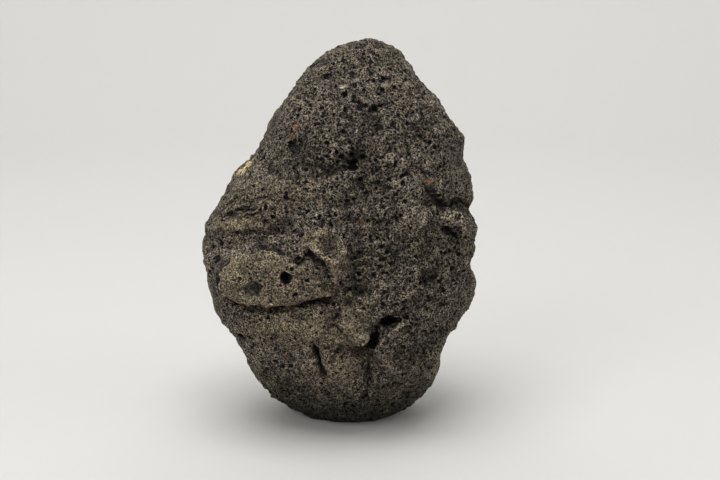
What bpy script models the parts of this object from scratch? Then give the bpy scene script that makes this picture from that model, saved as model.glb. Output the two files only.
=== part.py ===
"""Lava rock: one upright stone of porous basalt, standing on its narrow lower end.

Everything is in metres with +Z up. The stone's best side, with the long swollen
lip and the round hole, looks along -Y. It is one solid piece of rock, so it is
one object. Run with: blender --background --python part.py
"""

import math

import bmesh
import bpy
import numpy as np
from mathutils import Vector, noise

MM = 0.001

# ---------------------------------------------------------------- dimensions, mm
TOP = 185.0  # height of the crown above the floor
BOTTOM = -9.0  # where the rounded underside would end if the foot were not flat
SEGMENTS = 108  # squares along each side of the starting cube
CUBE_EVENNESS = 0.86  # spreads the squares evenly over the ball
KEPT_FACES = 0.068  # share of the triangles left once flat areas are thinned out

# How far the stone reaches from its upright axis, read like calliper sections:
# height, left (-X), right (+X), front (-Y), back (+Y)
STATIONS = (
    (-4.0, 13.0, 20.0, 15.0, 18.0),
    (2.0, 21.5, 31.0, 21.5, 26.0),
    (8.0, 30.5, 39.0, 30.5, 34.5),
    (15.0, 38.0, 44.0, 38.0, 40.5),
    (24.0, 43.8, 48.4, 44.5, 45.0),
    (34.0, 47.8, 50.2, 49.0, 48.2),
    (44.0, 53.8, 54.6, 52.0, 50.5),
    (54.0, 60.6, 62.0, 54.0, 52.0),
    (64.0, 63.6, 65.0, 55.0, 53.0),
    (75.0, 64.8, 64.8, 55.0, 53.5),
    (84.0, 66.0, 65.2, 54.0, 53.5),
    (94.0, 64.2, 65.8, 52.5, 52.5),
    (103.0, 60.0, 64.4, 50.5, 51.5),
    (112.0, 54.8, 64.6, 49.0, 50.0),
    (121.0, 48.6, 62.6, 47.5, 48.0),
    (130.0, 39.5, 59.6, 46.0, 45.5),
    (139.0, 35.4, 59.0, 43.0, 42.5),
    (148.0, 31.0, 52.4, 39.5, 38.5),
    (157.0, 24.8, 46.2, 35.0, 34.0),
    (166.0, 18.2, 38.6, 29.5, 29.0),
    (174.0, 12.4, 34.0, 23.0, 23.0),
    (180.0, 3.4, 29.4, 16.0, 16.5),
    (183.8, -7.0, 20.0, 9.0, 9.5),
)

# Broad broken faces: (direction the face looks, distance from the middle of the
# stone, how strongly it is flattened)
MIDDLE = (3.0, 0.0, 84.0)
BREAKS = (
    ((0.35, 0.93, 0.10), 47.0, 0.70),
    ((-0.72, 0.66, -0.18), 50.5, 0.62),
    ((0.78, 0.58, -0.22), 53.5, 0.55),
    ((-0.30, 0.70, 0.64), 61.0, 0.65),
    ((0.30, -0.62, 0.72), 70.0, 0.60),
    ((-0.55, -0.60, 0.58), 66.0, 0.45),
    ((0.55, 0.50, 0.67), 69.0, 0.60),
    ((-0.45, -0.68, -0.58), 63.0, 0.45),
    ((0.58, -0.66, -0.47), 61.0, 0.50),
    ((0.10, 0.74, -0.66), 60.0, 0.55),
)

# Swellings on the front: x, z, half width, half height, tilt in degrees, rise,
# how square-shouldered they are
LIP = (-31.0, 80.5, 27.0, 13.0, 5.0, 7.5, 3.6)
FRONT_SWELLINGS = (
    LIP,  # the long lip with the round hole in it
    (-9.5, 96.0, 12.5, 13.0, 0.0, 4.4, 3.6),  # knob beside the lip
    (-38.0, 113.0, 26.0, 13.0, 16.0, 2.0, 2.4),  # ropy shoulder
    (8.0, 150.0, 40.0, 20.0, -2.0, 3.4, 3.6),  # crown, which overhangs the shoulder
    (37.0, 92.0, 24.0, 42.0, -6.0, 4.2, 2.6),  # broad porous cheek
    (-26.0, 45.0, 24.0, 18.0, -24.0, 2.6, 2.6),  # lower left face
    (33.0, 38.0, 15.0, 22.0, 24.0, 3.0, 2.6),  # lower right face
    (4.0, 57.0, 8.5, 7.5, 0.0, 2.6, 2.4),  # boss above the forked valley
    (55.0, 103.0, 8.0, 8.0, 0.0, 2.4, 2.4),  # ledge on the right flank
    (57.0, 84.0, 8.0, 8.0, 0.0, 2.6, 2.4),
)

# Valleys and cracks on the front: depth, half width, then the line they follow
FRONT_VALLEYS = (
    (4.2, 2.0, ((-53, 70), (-43, 66.5), (-31, 65.5), (-18, 68.5), (-6, 71.5), (0, 73))),
    (5.2, 4.6, ((-74, 86), (-60, 90), (-47, 96), (-34, 101), (-22, 104))),
    (3.0, 3.2, ((-38, 127), (-26, 124.5), (-12, 127), (0, 131), (14, 131))),
    (3.2, 7.0, ((10, 124), (8, 111), (9, 96), (11, 82), (8, 70))),
    (4.6, 3.8, ((33, 63), (24, 60.5), (17, 55), (12, 48), (15, 42), (13, 24))),
    (3.0, 3.6, ((6, 70), (-2, 62), (0, 54), (8, 48), (12, 45))),
    (3.6, 1.9, ((-11, 51), (-9, 42), (-6, 32))),
    (3.0, 3.2, ((32, 116), (44, 111), (55, 109), (68, 103), (74, 100))),
    (2.4, 2.6, ((45, 103), (51, 97), (52, 88))),
    (2.2, 3.0, ((62, 94), (66, 92), (70, 91))),
    (2.2, 2.4, ((-15, 89), (-11, 93.5), (-6, 88))),
)

# The same on the flanks and the back, placed by a point or line in space
ROUND_SWELLINGS = (
    (-20.0, 54.0, 118.0, 22.0, 4.0),
    (24.0, 55.0, 76.0, 24.0, 4.5),
    (-40.0, 40.0, 62.0, 20.0, 4.0),
    (46.0, 34.0, 128.0, 17.0, 3.2),
    (60.0, 10.0, 58.0, 15.0, 2.4),
    (-54.0, 12.0, 96.0, 16.0, 2.6),
    (4.0, 40.0, 34.0, 18.0, 3.4),
    (30.0, 30.0, 160.0, 14.0, 2.2),
    (-30.0, -8.0, 24.0, 14.0, 1.8),
)
ROUND_VALLEYS = (
    (4.2, 6.0, ((-34, 52, 96), (-12, 58, 92), (10, 58, 98), (34, 50, 108), (52, 34, 112))),
    (3.6, 5.0, ((-2, 58, 88), (-6, 56, 66), (-18, 50, 46), (-22, 42, 28))),
    (3.4, 5.0, ((52, 36, 96), (56, 30, 74), (50, 30, 52))),
    (3.2, 4.5, ((-60, 20, 78), (-52, 34, 84), (-44, 44, 78))),
    (3.0, 5.0, ((-14, 46, 140), (6, 42, 146), (26, 36, 144), (44, 22, 146))),
    (2.6, 4.0, ((66, -4, 74), (62, 14, 78), (56, 28, 74))),
    (2.4, 4.0, ((-46, 10, 122), (-38, 26, 128), (-26, 34, 132))),
)

# Pockets that go in deeper than they are wide: x, z, half width, half height,
# how far in, tilt in degrees
ROUND_HOLE = (-22.7, 82.8, 3.1, 3.5, 8.0, 0.0)
POCKETS = (
    ROUND_HOLE,
    (6.6, 132.4, 3.2, 1.8, 5.0, 4.0),
    (24.0, 61.2, 5.0, 2.6, 5.5, 8.0),
    (15.2, 51.5, 2.4, 4.6, 5.0, -22.0),
)

ROUGHNESS = ((38.0, 2.3), (17.0, 1.3), (9.0, 0.8), (5.0, 0.45))  # lump size, height
WANDER = ((14.0, 2.6), (6.0, 1.1))  # how far swellings and valleys stray from their drawn lines
SEED = 61.0


# ---------------------------------------------------------------- helpers
def smooth(lo, hi, v):
    t = np.clip((v - lo) / (hi - lo), 0.0, 1.0)
    return t * t * (3.0 - 2.0 * t)


def valley(p, depth, width, line):
    """A furrow along a line of straight runs, running out at both ends."""
    best, along, gone = np.full(len(p), 1e9), np.zeros(len(p)), 0.0
    for a, b in zip(line[:-1], line[1:]):
        a, b = np.array(a, float), np.array(b, float)
        run = np.linalg.norm(b - a)
        t = np.clip(((p - a) @ (b - a)) / run**2, 0.0, 1.0)
        far = np.linalg.norm(p - a - t[:, None] * (b - a), axis=1)
        along = np.where(far < best, gone + t * run, along)
        best = np.minimum(best, far)
        gone += run
    taper = 0.25 + 0.75 * smooth(0.0, 2.5 * width, np.minimum(along, gone - along))
    return depth * taper * np.exp(-((best / (width * (0.6 + 0.4 * taper))) ** 2))


def normals_of(p, quads):
    n = np.zeros_like(p)
    face = np.cross(p[quads[:, 2]] - p[quads[:, 0]], p[quads[:, 3]] - p[quads[:, 1]])
    for k in range(4):
        np.add.at(n, quads[:, k], face)
    return n / np.linalg.norm(n, axis=1)[:, None]


def lumps(p, size):
    return np.array([noise.noise(Vector((x, y, z)) / size + Vector((SEED, 7.3, 2.9))) for x, y, z in p])


def section(height, column):
    """Reach at a height on a smooth curve through the stations, closing at both ends."""
    table = np.array(STATIONS)
    middle, half = (TOP + BOTTOM) / 2, (TOP - BOTTOM) / 2
    angle = np.arcsin((table[:, 0] - middle) / half)
    reach, slope = table[:, column], np.gradient(table[:, column], angle)
    here = np.arcsin(np.clip((height - middle) / half, -1.0, 1.0))
    inside = np.clip(here, angle[0], angle[-1])
    k = np.clip(np.searchsorted(angle, inside) - 1, 0, len(angle) - 2)
    gap = angle[k + 1] - angle[k]
    t = (inside - angle[k]) / gap
    value = (
        (1 + 2 * t) * (1 - t) ** 2 * reach[k]
        + t * (1 - t) ** 2 * gap * slope[k]
        + t * t * (3 - 2 * t) * reach[k + 1]
        + t * t * (t - 1) * gap * slope[k + 1]
    )
    return value, np.minimum(np.cos(here) / np.cos(inside), 1.0)


# ---------------------------------------------------------------- a clean start
for old in list(bpy.data.objects):
    bpy.data.objects.remove(old, do_unlink=True)

parts = bpy.data.collections.new("lava_rock_parts")
cutters = bpy.data.collections.new("cutters")
for made in (parts, cutters):
    bpy.context.scene.collection.children.link(made)


# ---------------------------------------------------------------- the ball of squares
def ball(segments):
    bm = bmesh.new()
    bmesh.ops.create_cube(bm, size=2.0)
    bmesh.ops.subdivide_edges(bm, edges=bm.edges[:], cuts=segments - 1, use_grid_fill=True)
    for v in bm.verts:
        spread = [math.tan(c * CUBE_EVENNESS * math.pi / 4) / math.tan(CUBE_EVENNESS * math.pi / 4) for c in v.co]
        v.co = Vector(spread).normalized()
    bmesh.ops.recalc_face_normals(bm, faces=bm.faces[:])
    return bm


bm = ball(SEGMENTS)
bm.verts.ensure_lookup_table()
direction = np.array([v.co[:] for v in bm.verts])
quads = np.array([[v.index for v in f.verts] for f in bm.faces])

# ---------------------------------------------------------------- stations
half = (TOP - BOTTOM) / 2
z = (TOP + BOTTOM) / 2 + half * direction[:, 2]
round_ = np.sqrt(np.maximum(1.0 - direction[:, 2] ** 2, 1e-9))
cx, sy = direction[:, 0] / round_, direction[:, 1] / round_
left, ends = section(z, 1)
right, _ = section(z, 2)
front, _ = section(z, 3)
back, _ = section(z, 4)
axis_x, half_x = (right - left) / 2, (right + left) / 2
half_y = np.where(sy < 0, front, back)
p = np.stack([axis_x + half_x * cx * ends, half_y * sy * ends, z], axis=1)

# ---------------------------------------------------------------- broken faces
for look, distance, share in BREAKS:
    look = np.array(look) / np.linalg.norm(look)
    over = (p - np.array(MIDDLE)) @ look - distance
    soft = np.where(over > 0, over, 0.0)
    keep_outline = 1.0 - 0.85 * smooth(0.72, 0.97, np.hypot(direction[:, 0], direction[:, 2]))
    p -= (share * soft * keep_outline)[:, None] * look

# ---------------------------------------------------------------- lumps, swellings, valleys
n = normals_of(p, quads)
outline = 1.0 - 0.75 * smooth(0.80, 1.0, np.hypot(n[:, 0], n[:, 2]))
rise = sum(height * lumps(p, size) for size, height in ROUGHNESS) * outline

facing = smooth(0.05, 0.55, -n[:, 1])
stray = sum(
    far * np.stack([lumps(p + shift, size) for shift in (0.0, 90.0, 180.0)], axis=1) for size, far in WANDER
)
flat = (p + stray)[:, [0, 2]]
for x0, z0, rx, rz, tilt, height, square in FRONT_SWELLINGS:
    c, s = math.cos(math.radians(tilt)), math.sin(math.radians(tilt))
    dx, dz = flat[:, 0] - x0, flat[:, 1] - z0
    u, v = (c * dx + s * dz) / rx, (-s * dx + c * dz) / rz
    rise += facing * height * np.exp(-0.9 * (u * u + v * v) ** (square / 2))
for depth, width, line in FRONT_VALLEYS:
    rise -= facing * valley(flat, depth, width, line)
behind = smooth(-0.25, 0.20, n[:, 1])
for x0, y0, z0, size, height in ROUND_SWELLINGS:
    far = np.linalg.norm(p + stray - np.array((x0, y0, z0)), axis=1) / size
    rise += behind * height * np.exp(-0.9 * far**2.6)
for depth, width, line in ROUND_VALLEYS:
    rise -= behind * valley(p + stray, depth, width, line)
p += n * rise[:, None]

# the floor point under the middle of the finished stone becomes the origin
above = p[p[:, 2] > 0.0]
origin = (above.min(axis=0) + above.max(axis=0))[:2] / 2
p[:, :2] -= origin

# ---------------------------------------------------------------- the stone
for v, co in zip(bm.verts, p):
    v.co = Vector(co) * MM

mesh = bpy.data.meshes.new("lava_rock")
bm.to_mesh(mesh)
bm.free()
rock = bpy.data.objects.new("lava_rock", mesh)
parts.objects.link(rock)

thin = rock.modifiers.new("thin_out_flat_areas", "DECIMATE")
thin.ratio = KEPT_FACES


def cut_away(tool, name):
    """Take a closed cutter out of the stone, and keep the cutter to one side."""
    tool.name = name
    for home in list(tool.users_collection):
        home.objects.unlink(tool)
    cutters.objects.link(tool)
    tool.hide_render = True
    tool.display_type = "WIRE"
    bite = rock.modifiers.new(name, "BOOLEAN")
    bite.operation = "DIFFERENCE"
    bite.solver = "EXACT"
    bite.object = tool


# ---------------------------------------------------------------- pockets
for i, (x0, z0, rx, rz, deep, tilt) in enumerate(POCKETS):
    start = Vector(((x0 - origin[0]) * MM, -0.2, z0 * MM))
    found, where, _, _ = rock.ray_cast(start, Vector((0, 1, 0)))
    bpy.ops.mesh.primitive_uv_sphere_add(segments=14, ring_count=9, radius=1.0, location=where)
    tool = bpy.context.active_object
    tool.rotation_euler = (0.0, math.radians(tilt), 0.0)
    tool.scale = (rx * MM, deep * MM, rz * MM)
    cut_away(tool, "pocket_%d" % (i + 1))

# ---------------------------------------------------------------- foot
# the stone stands on a worn flat, as if sawn level with the floor
bpy.ops.mesh.primitive_cube_add(size=0.2, location=(0.0, 0.0, -0.1))
cut_away(bpy.context.active_object, "foot")

# ---------------------------------------------------------------- finish
stone = bpy.data.materials.new("porous_basalt")
stone.use_nodes = True
finish = stone.node_tree.nodes["Principled BSDF"]
finish.inputs["Base Color"].default_value = (0.085, 0.078, 0.068, 1.0)
finish.inputs["Roughness"].default_value = 0.92
finish.inputs["Metallic"].default_value = 0.0
rock.data.materials.append(stone)
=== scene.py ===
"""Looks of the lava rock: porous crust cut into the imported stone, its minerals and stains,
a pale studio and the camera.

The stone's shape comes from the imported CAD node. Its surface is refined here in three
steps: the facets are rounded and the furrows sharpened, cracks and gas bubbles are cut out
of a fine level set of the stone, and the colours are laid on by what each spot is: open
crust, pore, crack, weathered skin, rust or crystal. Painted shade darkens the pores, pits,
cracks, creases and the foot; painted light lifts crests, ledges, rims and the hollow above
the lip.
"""

import math

import bpy
import numpy as np
import openvdb as vdb
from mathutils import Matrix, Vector, kdtree, noise


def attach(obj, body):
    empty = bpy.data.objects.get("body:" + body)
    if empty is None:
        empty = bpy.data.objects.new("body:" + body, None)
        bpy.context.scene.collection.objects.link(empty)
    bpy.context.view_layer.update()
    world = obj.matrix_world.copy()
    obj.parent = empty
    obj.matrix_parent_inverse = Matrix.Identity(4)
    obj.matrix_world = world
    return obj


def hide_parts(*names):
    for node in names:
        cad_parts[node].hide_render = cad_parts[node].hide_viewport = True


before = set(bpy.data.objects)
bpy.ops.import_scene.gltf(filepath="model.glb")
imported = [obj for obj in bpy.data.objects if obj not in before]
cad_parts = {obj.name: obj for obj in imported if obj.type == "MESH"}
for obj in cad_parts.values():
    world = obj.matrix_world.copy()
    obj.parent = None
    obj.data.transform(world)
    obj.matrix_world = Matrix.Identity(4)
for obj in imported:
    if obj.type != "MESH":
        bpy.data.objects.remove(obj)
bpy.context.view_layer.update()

MM = 0.001
COARSE = 0.7  # mm between points of the mesh that carries folds and furrows
FINE = 0.36  # mm between points of the finished surface
CAD_SHIFT = np.array([0.35, 2.64, 0.0])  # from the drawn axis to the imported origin
MIDDLE = np.array([0.0, 0.0, 85.0])


# ------------------------------------------------------------------ small helpers
def smooth(lo, hi, v):
    t = np.clip((v - lo) / (hi - lo), 0.0, 1.0)
    return t * t * (3.0 - 2.0 * t)


def mixed(ix, iy, iz, seed):
    """A scrambled whole number for each lattice point."""
    h = (
        ix.astype(np.uint32) * np.uint32(73856093)
        ^ iy.astype(np.uint32) * np.uint32(19349663)
        ^ iz.astype(np.uint32) * np.uint32(83492791)
        ^ np.uint32((seed * 2654435761) & 0xFFFFFFFF)
    )
    h ^= h >> np.uint32(15)
    h *= np.uint32(2246822519)
    h ^= h >> np.uint32(13)
    h *= np.uint32(3266489917)
    h ^= h >> np.uint32(16)
    return h


def grain(p, size, seed):
    """Smooth noise from about -1 to 1, with features of the given size in mm."""
    q = p / size + 97.3
    base = np.floor(q)
    f = (q - base).astype(np.float32)
    base = base.astype(np.int64)
    w = f * f * f * (f * (f * 6 - 15) + 10)
    total = np.zeros(len(p), np.float32)
    for dx in (0, 1):
        for dy in (0, 1):
            for dz in (0, 1):
                h = mixed(base[:, 0] + dx, base[:, 1] + dy, base[:, 2] + dz, seed)
                gx = (h & np.uint32(1023)).astype(np.float32) / 511.5 - 1
                gy = ((h >> np.uint32(10)) & np.uint32(1023)).astype(np.float32) / 511.5 - 1
                gz = ((h >> np.uint32(20)) & np.uint32(1023)).astype(np.float32) / 511.5 - 1
                part = gx * (f[:, 0] - dx) + gy * (f[:, 1] - dy) + gz * (f[:, 2] - dz)
                part *= w[:, 0] if dx else 1 - w[:, 0]
                part *= w[:, 1] if dy else 1 - w[:, 1]
                part *= w[:, 2] if dz else 1 - w[:, 2]
                total += part
    return total * 1.5


def layers(p, size, seed, count=3, falloff=0.5):
    total, weight, sum_w = 0.0, 1.0, 0.0
    for k in range(count):
        total = total + weight * grain(p, size * 0.5**k, seed + 11 * k)
        sum_w += weight
        weight *= falloff
    return total / sum_w


def drawn_wander(p):
    """The CAD model's own wander, so that fine lines lie in its furrows."""
    q = p - CAD_SHIFT
    out = np.zeros((len(p), 3))
    start = Vector((61.0, 7.3, 2.9))
    for size, far in ((14.0, 2.6), (6.0, 1.1)):
        for k, shift in enumerate((0.0, 90.0, 180.0)):
            out[:, k] += far * np.array([noise.noise(Vector(a) / size + start) for a in (q + shift).tolist()])
    return out


def along_line(p, line):
    """Distance to a line of straight runs, which side of it, and the way gone along it."""
    best, side = np.full(len(p), 1e9), np.zeros(len(p))
    along, gone = np.zeros(len(p)), 0.0
    for a, b in zip(line[:-1], line[1:]):
        a, b = np.array(a, float), np.array(b, float)
        run = b - a
        long = np.hypot(*run)
        t = np.clip(((p - a) @ run) / long**2, 0.0, 1.0)
        off = p - a - t[:, None] * run
        far = np.hypot(off[:, 0], off[:, 1])
        cross = (run[0] * (p[:, 1] - a[1]) - run[1] * (p[:, 0] - a[0])) / long
        near = far < best
        side = np.where(near, cross, side)
        along = np.where(near, gone + t * long, along)
        best = np.minimum(best, far)
        gone += long
    return best, side, np.minimum(along, gone - along)


def spot(p, x, z, rx, rz, tilt=0.0):
    """Distance from the middle of a tilted oval, 1 on its edge."""
    c, s = math.cos(math.radians(tilt)), math.sin(math.radians(tilt))
    dx, dz = p[:, 0] - x, p[:, 1] - z
    return np.hypot((c * dx + s * dz) / rx, (-s * dx + c * dz) / rz)


def rim(p, outline):
    """Distance to a closed outline, more than 0 inside it."""
    far, _, _ = along_line(p, outline + (outline[0],))
    inside = np.zeros(len(p), bool)
    for a, b in zip(outline, outline[1:] + (outline[0],)):
        crosses = (a[1] > p[:, 1]) != (b[1] > p[:, 1])
        inside ^= crosses & (p[:, 0] < a[0] + (b[0] - a[0]) * (p[:, 1] - a[1]) / ((b[1] - a[1]) or 1e-9))
    return np.where(inside, far, -far)


def clods(p, size, seed):
    """Domes packed side by side: 1 in the middle of each, 0 in the creases."""
    q = p / size + 31.7
    base = np.floor(q).astype(np.int64)
    first = np.full(len(p), 9.0)
    second = np.full(len(p), 9.0)
    for dx in (-1, 0, 1):
        for dy in (-1, 0, 1):
            for dz in (-1, 0, 1):
                ix, iy, iz = base[:, 0] + dx, base[:, 1] + dy, base[:, 2] + dz
                h = mixed(ix, iy, iz, seed)
                off = np.stack([ix, iy, iz], axis=1) + 0.1
                for k in range(3):
                    off[:, k] += 0.8 * ((h >> np.uint32(10 * k)) & np.uint32(1023)) / 1023
                d = ((q - off) ** 2).sum(axis=1)
                second = np.where(d < first, first, np.minimum(second, d))
                first = np.minimum(first, d)
    return np.clip((np.sqrt(second) - np.sqrt(first)) * 1.6, 0, 1) ** 0.7


class Surface:
    """A closed mesh of squares as arrays, in mm."""

    def __init__(self, points, quads):
        self.p = points.astype(np.float64)
        self.q = quads.astype(np.int64)
        self.orient()
        self.link()

    def orient(self):
        p, q = self.p, self.q
        face = np.cross(p[q[:, 2]] - p[q[:, 0]], p[q[:, 3]] - p[q[:, 1]])
        if (face * (p[q[:, 0]] - p.mean(axis=0))).sum() < 0:
            self.q = q[:, ::-1].copy()

    def link(self):
        q = self.q
        self.i = np.concatenate([q[:, k] for k in range(4)])
        self.j = np.concatenate([q[:, (k + 1) % 4] for k in range(4)])
        self.n = len(self.p)
        # each edge is met once from each of its two faces, so both ends count once
        self.count = np.bincount(self.i, minlength=self.n).astype(float)

    def around(self, v):
        """The average of the neighbours' values."""
        if v.ndim == 1:
            return np.bincount(self.i, v[self.j], self.n) / self.count
        return np.stack([self.around(v[:, k]) for k in range(v.shape[1])], axis=1)

    def relaxed(self, v, times, share=0.5):
        v = v.copy()
        for _ in range(times):
            v += share * (self.around(v) - v)
        return v

    def normals(self):
        p, q = self.p, self.q
        face = np.cross(p[q[:, 2]] - p[q[:, 0]], p[q[:, 3]] - p[q[:, 1]])
        n = np.stack(
            [sum(np.bincount(q[:, k], face[:, a], self.n) for k in range(4)) for a in range(3)], axis=1
        )
        return n / (np.linalg.norm(n, axis=1)[:, None] + 1e-12)


def level_set(points, faces, step, out_mm, in_mm):
    kind = "triangles" if faces.shape[1] == 3 else "quads"
    return vdb.FloatGrid.createLevelSetFromPolygons(
        points.astype(np.float32),
        **{kind: faces.astype(np.uint32)},
        transform=vdb.createLinearTransform(voxelSize=step),
        exBandWidth=float(out_mm / step),
        inBandWidth=float(in_mm / step),
    )


# ------------------------------------------------------------------ 1: round the CAD facets
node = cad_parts["lava_rock"]
mesh = node.data
mesh.calc_loop_triangles()
co = np.empty(len(mesh.vertices) * 3, np.float32)
mesh.vertices.foreach_get("co", co)
tri = np.empty(len(mesh.loop_triangles) * 3, np.int32)
mesh.loop_triangles.foreach_get("vertices", tri)
world = np.array(node.matrix_world)
cad = co.reshape(-1, 3) @ world[:3, :3].T + world[:3, 3]

rough = level_set(cad / MM, tri.reshape(-1, 3), COARSE, 3 * COARSE, 3 * COARSE)
base = Surface(*rough.convertToQuads(isovalue=0.0))
facets_gone = base.relaxed(base.p, 10)
soft = base.relaxed(facets_gone, 40)
base.p = facets_gone
n = base.normals()
# sharpen what the rounding softened: furrows go deeper, shoulders stand out
relief = ((facets_gone - soft) * n).sum(axis=1)
base.p = facets_gone + n * (np.clip(relief, -1.6, 1.2) * 0.9)[:, None]

# ------------------------------------------------------------------ 2: folds, lip, hollows
p = base.p
n = base.relaxed(base.normals(), 6)
n /= np.linalg.norm(n, axis=1)[:, None]
out = (p - MIDDLE) / np.linalg.norm(p - MIDDLE, axis=1)[:, None]
facing = smooth(0.02, 0.30, -out[:, 1])
wander = drawn_wander(p)
fine_wander = 0.8 * np.stack([grain(p, 3.4, 40 + k) for k in range(3)], axis=1)
true = (p - CAD_SHIFT + fine_wander)[:, [0, 2]]
torn = true + 1.3 * np.stack([layers(p, 7.0, 46 + k, 3) for k in range(2)], axis=1)

LIP = (
    (-56, 72.5), (-54.6, 80), (-50.5, 86), (-46.6, 89.3), (-41.9, 91.4), (-35, 93.2), (-27, 92.9), (-20, 90.2),
    (-14, 86.8), (-7, 83.2), (-2.2, 78.4), (-2.2, 74.4), (-8.7, 72.2), (-20, 69.4), (-31, 68.0), (-40, 67.8), (-47, 67.0),
    (-52, 68.4),
)
KNOB = (
    (-14, 94.5), (-18, 99), (-14.3, 102.8), (-9.8, 104.5), (-4, 104.5), (1.4, 99.3), (4.2, 94.4), (6.4, 88.5),
    (6.5, 81), (3.0, 75), (-1.0, 78.8), (-5.8, 87.5), (-11, 92.6),
)

# cracks of the front: how deep, how wide, line
CRACKS = (
    (2.1, 0.50, ((-52.5, 67.6), (-47, 65.9), (-40, 66.4), (-31, 66.8), (-20, 68.2), (-9, 71.2), (-1.6, 73.4))),
    (0.7, 1.2, ((-62, 86), (-56, 89), (-47, 92.6), (-40, 95.4), (-33, 96.8), (-25, 96.0))),
    (3.3, 0.95, ((-18.0, 88.0), (-15.9, 89.9), (-13.6, 92.3), (-11.6, 93.7), (-9.0, 91.7), (-6.6, 89.4), (-4.2, 86.8))),
    (3.6, 1.50, ((-13.6, 91.4), (-11.2, 92.5), (-8.8, 90.6))),
    (2.2, 0.75, ((-21.6, 100.8), (-18.1, 102.5), (-14.6, 102.1))),
    (1.0, 0.6, ((2.4, 99.5), (5.0, 95), (7.2, 88.7), (7.4, 81), (4.4, 75.5), (2.4, 71))),
    (2.6, 0.60, ((-4.4, 61.0), (0.0, 59.2), (2.7, 56.9), (6.0, 53.6))),
    (3.2, 1.25, ((-11.6, 52.6), (-10.2, 49.4), (-9.2, 46.4), (-8.4, 42.6))),
    (3.0, 0.85, ((-9.4, 47.0), (-8.4, 42.6), (-7.2, 37.4), (-5.4, 32.0))),
    (3.0, 1.00, ((14.6, 59.6), (17.0, 57.4), (18.0, 54.4), (17.2, 51.4), (14.8, 48.4), (11.0, 46.8))),
    (1.2, 0.60, ((16.0, 47.6), (15.2, 42.5), (13.4, 36.5), (13.8, 30.4), (12.6, 25.2), (14.8, 17.0))),
    (1.5, 0.9, ((19.8, 57.0), (23.2, 59.2), (28.6, 61.6))),
    (2.4, 0.95, ((38.4, 122.0), (40.6, 118.8), (43.8, 114.8), (48.0, 111.2), (52.9, 110.9), (56.4, 111.8), (59.8, 108.0), (62.2, 101.7))),
    (0.45, 0.8, ((-38, 127), (-33, 125.8), (-22, 124.0), (-10, 125.2), (0, 127.6))),
    (1.7, 0.50, ((-57, 101.8), (-50, 105.6), (-43, 109.6), (-37, 113.0))),
    (1.6, 0.50, ((-52, 103.8), (-46, 106.5), (-40, 109.2), (-34, 110.6))),
    (1.5, 0.50, ((-46, 104.4), (-41, 106.9), (-36, 107.7), (-31, 107.0))),
    (1.3, 0.45, ((-41, 113.6), (-33, 115.6), (-26, 115.0))),
    (1.2, 0.45, ((-54, 108.4), (-48, 111.6), (-44, 115.0))),
    (1.5, 0.8, ((-1.4, 79.2), (-0.2, 73.4), (0.8, 67.7), (2.2, 61.8))),
    (1.0, 0.5, ((3.4, 72), (7.4, 66), (10.6, 60.6))),
    (0.8, 0.5, ((-50, 62), (-42, 57), (-37, 50))),
    (0.8, 0.4, ((24, 49), (30, 45), (33, 38))),
    (3.4, 1.15, ((46.8, 103.4), (50.2, 99.8), (52.4, 97.8), (56.2, 94.2))),
    (0.9, 0.6, ((8.5, 165.2), (19, 167.8), (31, 169.0))),
    (0.8, 0.5, ((22, 118), (27, 111), (25, 103))),
    (0.7, 0.5, ((30, 92), (37, 90), (44, 93))),
    (0.8, 0.5, ((34, 70), (41, 66), (50, 68))),
)


def drawn_cracks(q, part):
    """How deep the cracks cut at a point, and how far into shadow it lies."""
    cut_in, dark = np.zeros(len(q)), np.zeros(len(q))
    straight = (q - CAD_SHIFT)[:, [0, 2]]
    for deep, wide, line in part:
        pts = np.array(line)
        close = ((straight > pts.min(axis=0) - 4.5) & (straight < pts.max(axis=0) + 4.5)).all(axis=1)
        k = np.flatnonzero(close)
        if not len(k):
            continue
        warp = np.stack([1.05 * grain(q[k], 3.4, 40 + a) + 0.45 * grain(q[k], 1.3, 44 + a) for a in (0, 2)], axis=1)
        far, _, left = along_line(straight[k] + warp, line)
        own = (0.2 + 0.8 * smooth(0, 4.5, left)) * np.clip(0.85 + 0.75 * grain(q[k], 2.6, 48), 0.15, 1.3)
        own *= np.exp(-((far / (wide * np.clip(1.0 + 0.8 * grain(q[k], 3.1, 49), 0.4, 1.6))) ** 2))
        cut_in[k] = np.maximum(cut_in[k], deep * own)
        dark[k] = np.maximum(dark[k], min(deep / 1.8, 1.0) * own)
    return cut_in, dark


# cracks of the back, in the same terms
BACK_CRACKS = (
    (2.6, 1.0, ((-42, 88), (-34, 93), (-22, 94), (-12, 90), (0, 91), (10, 97), (22, 99), (34, 106))),
    (2.4, 1.0, ((-2, 90), (-3, 80), (-8, 70), (-10, 60), (-17, 50), (-20, 38), (-19, 28))),
    (2.0, 0.9, ((38, 100), (41, 90), (46, 80), (45, 68), (41, 58))),
    (2.0, 0.8, ((-24, 144), (-14, 139), (-4, 141), (8, 146), (20, 145))),
    (1.8, 0.8, ((20, 68), (24, 58), (29, 48), (27, 36), (22, 27))),
    (1.6, 0.8, ((-44, 74), (-38, 64), (-41, 52), (-36, 42))),
    (1.4, 0.7, ((0, 126), (10, 119), (22, 118), (30, 122))),
    (1.4, 0.7, ((-34, 120), (-24, 113), (-12, 115), (-4, 110))),
    (1.4, 0.6, ((2, 166), (12, 162), (20, 164))),
)

# clinkery crust: domes packed side by side, large and small
clod = clods(p + 0.9 * np.stack([grain(p, 4.0, 50 + k) for k in range(3)], axis=1), 7.5, 9)
small_clod = clods(p + 0.6 * np.stack([grain(p, 2.4, 55 + k) for k in range(3)], axis=1), 3.6, 19)

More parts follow.
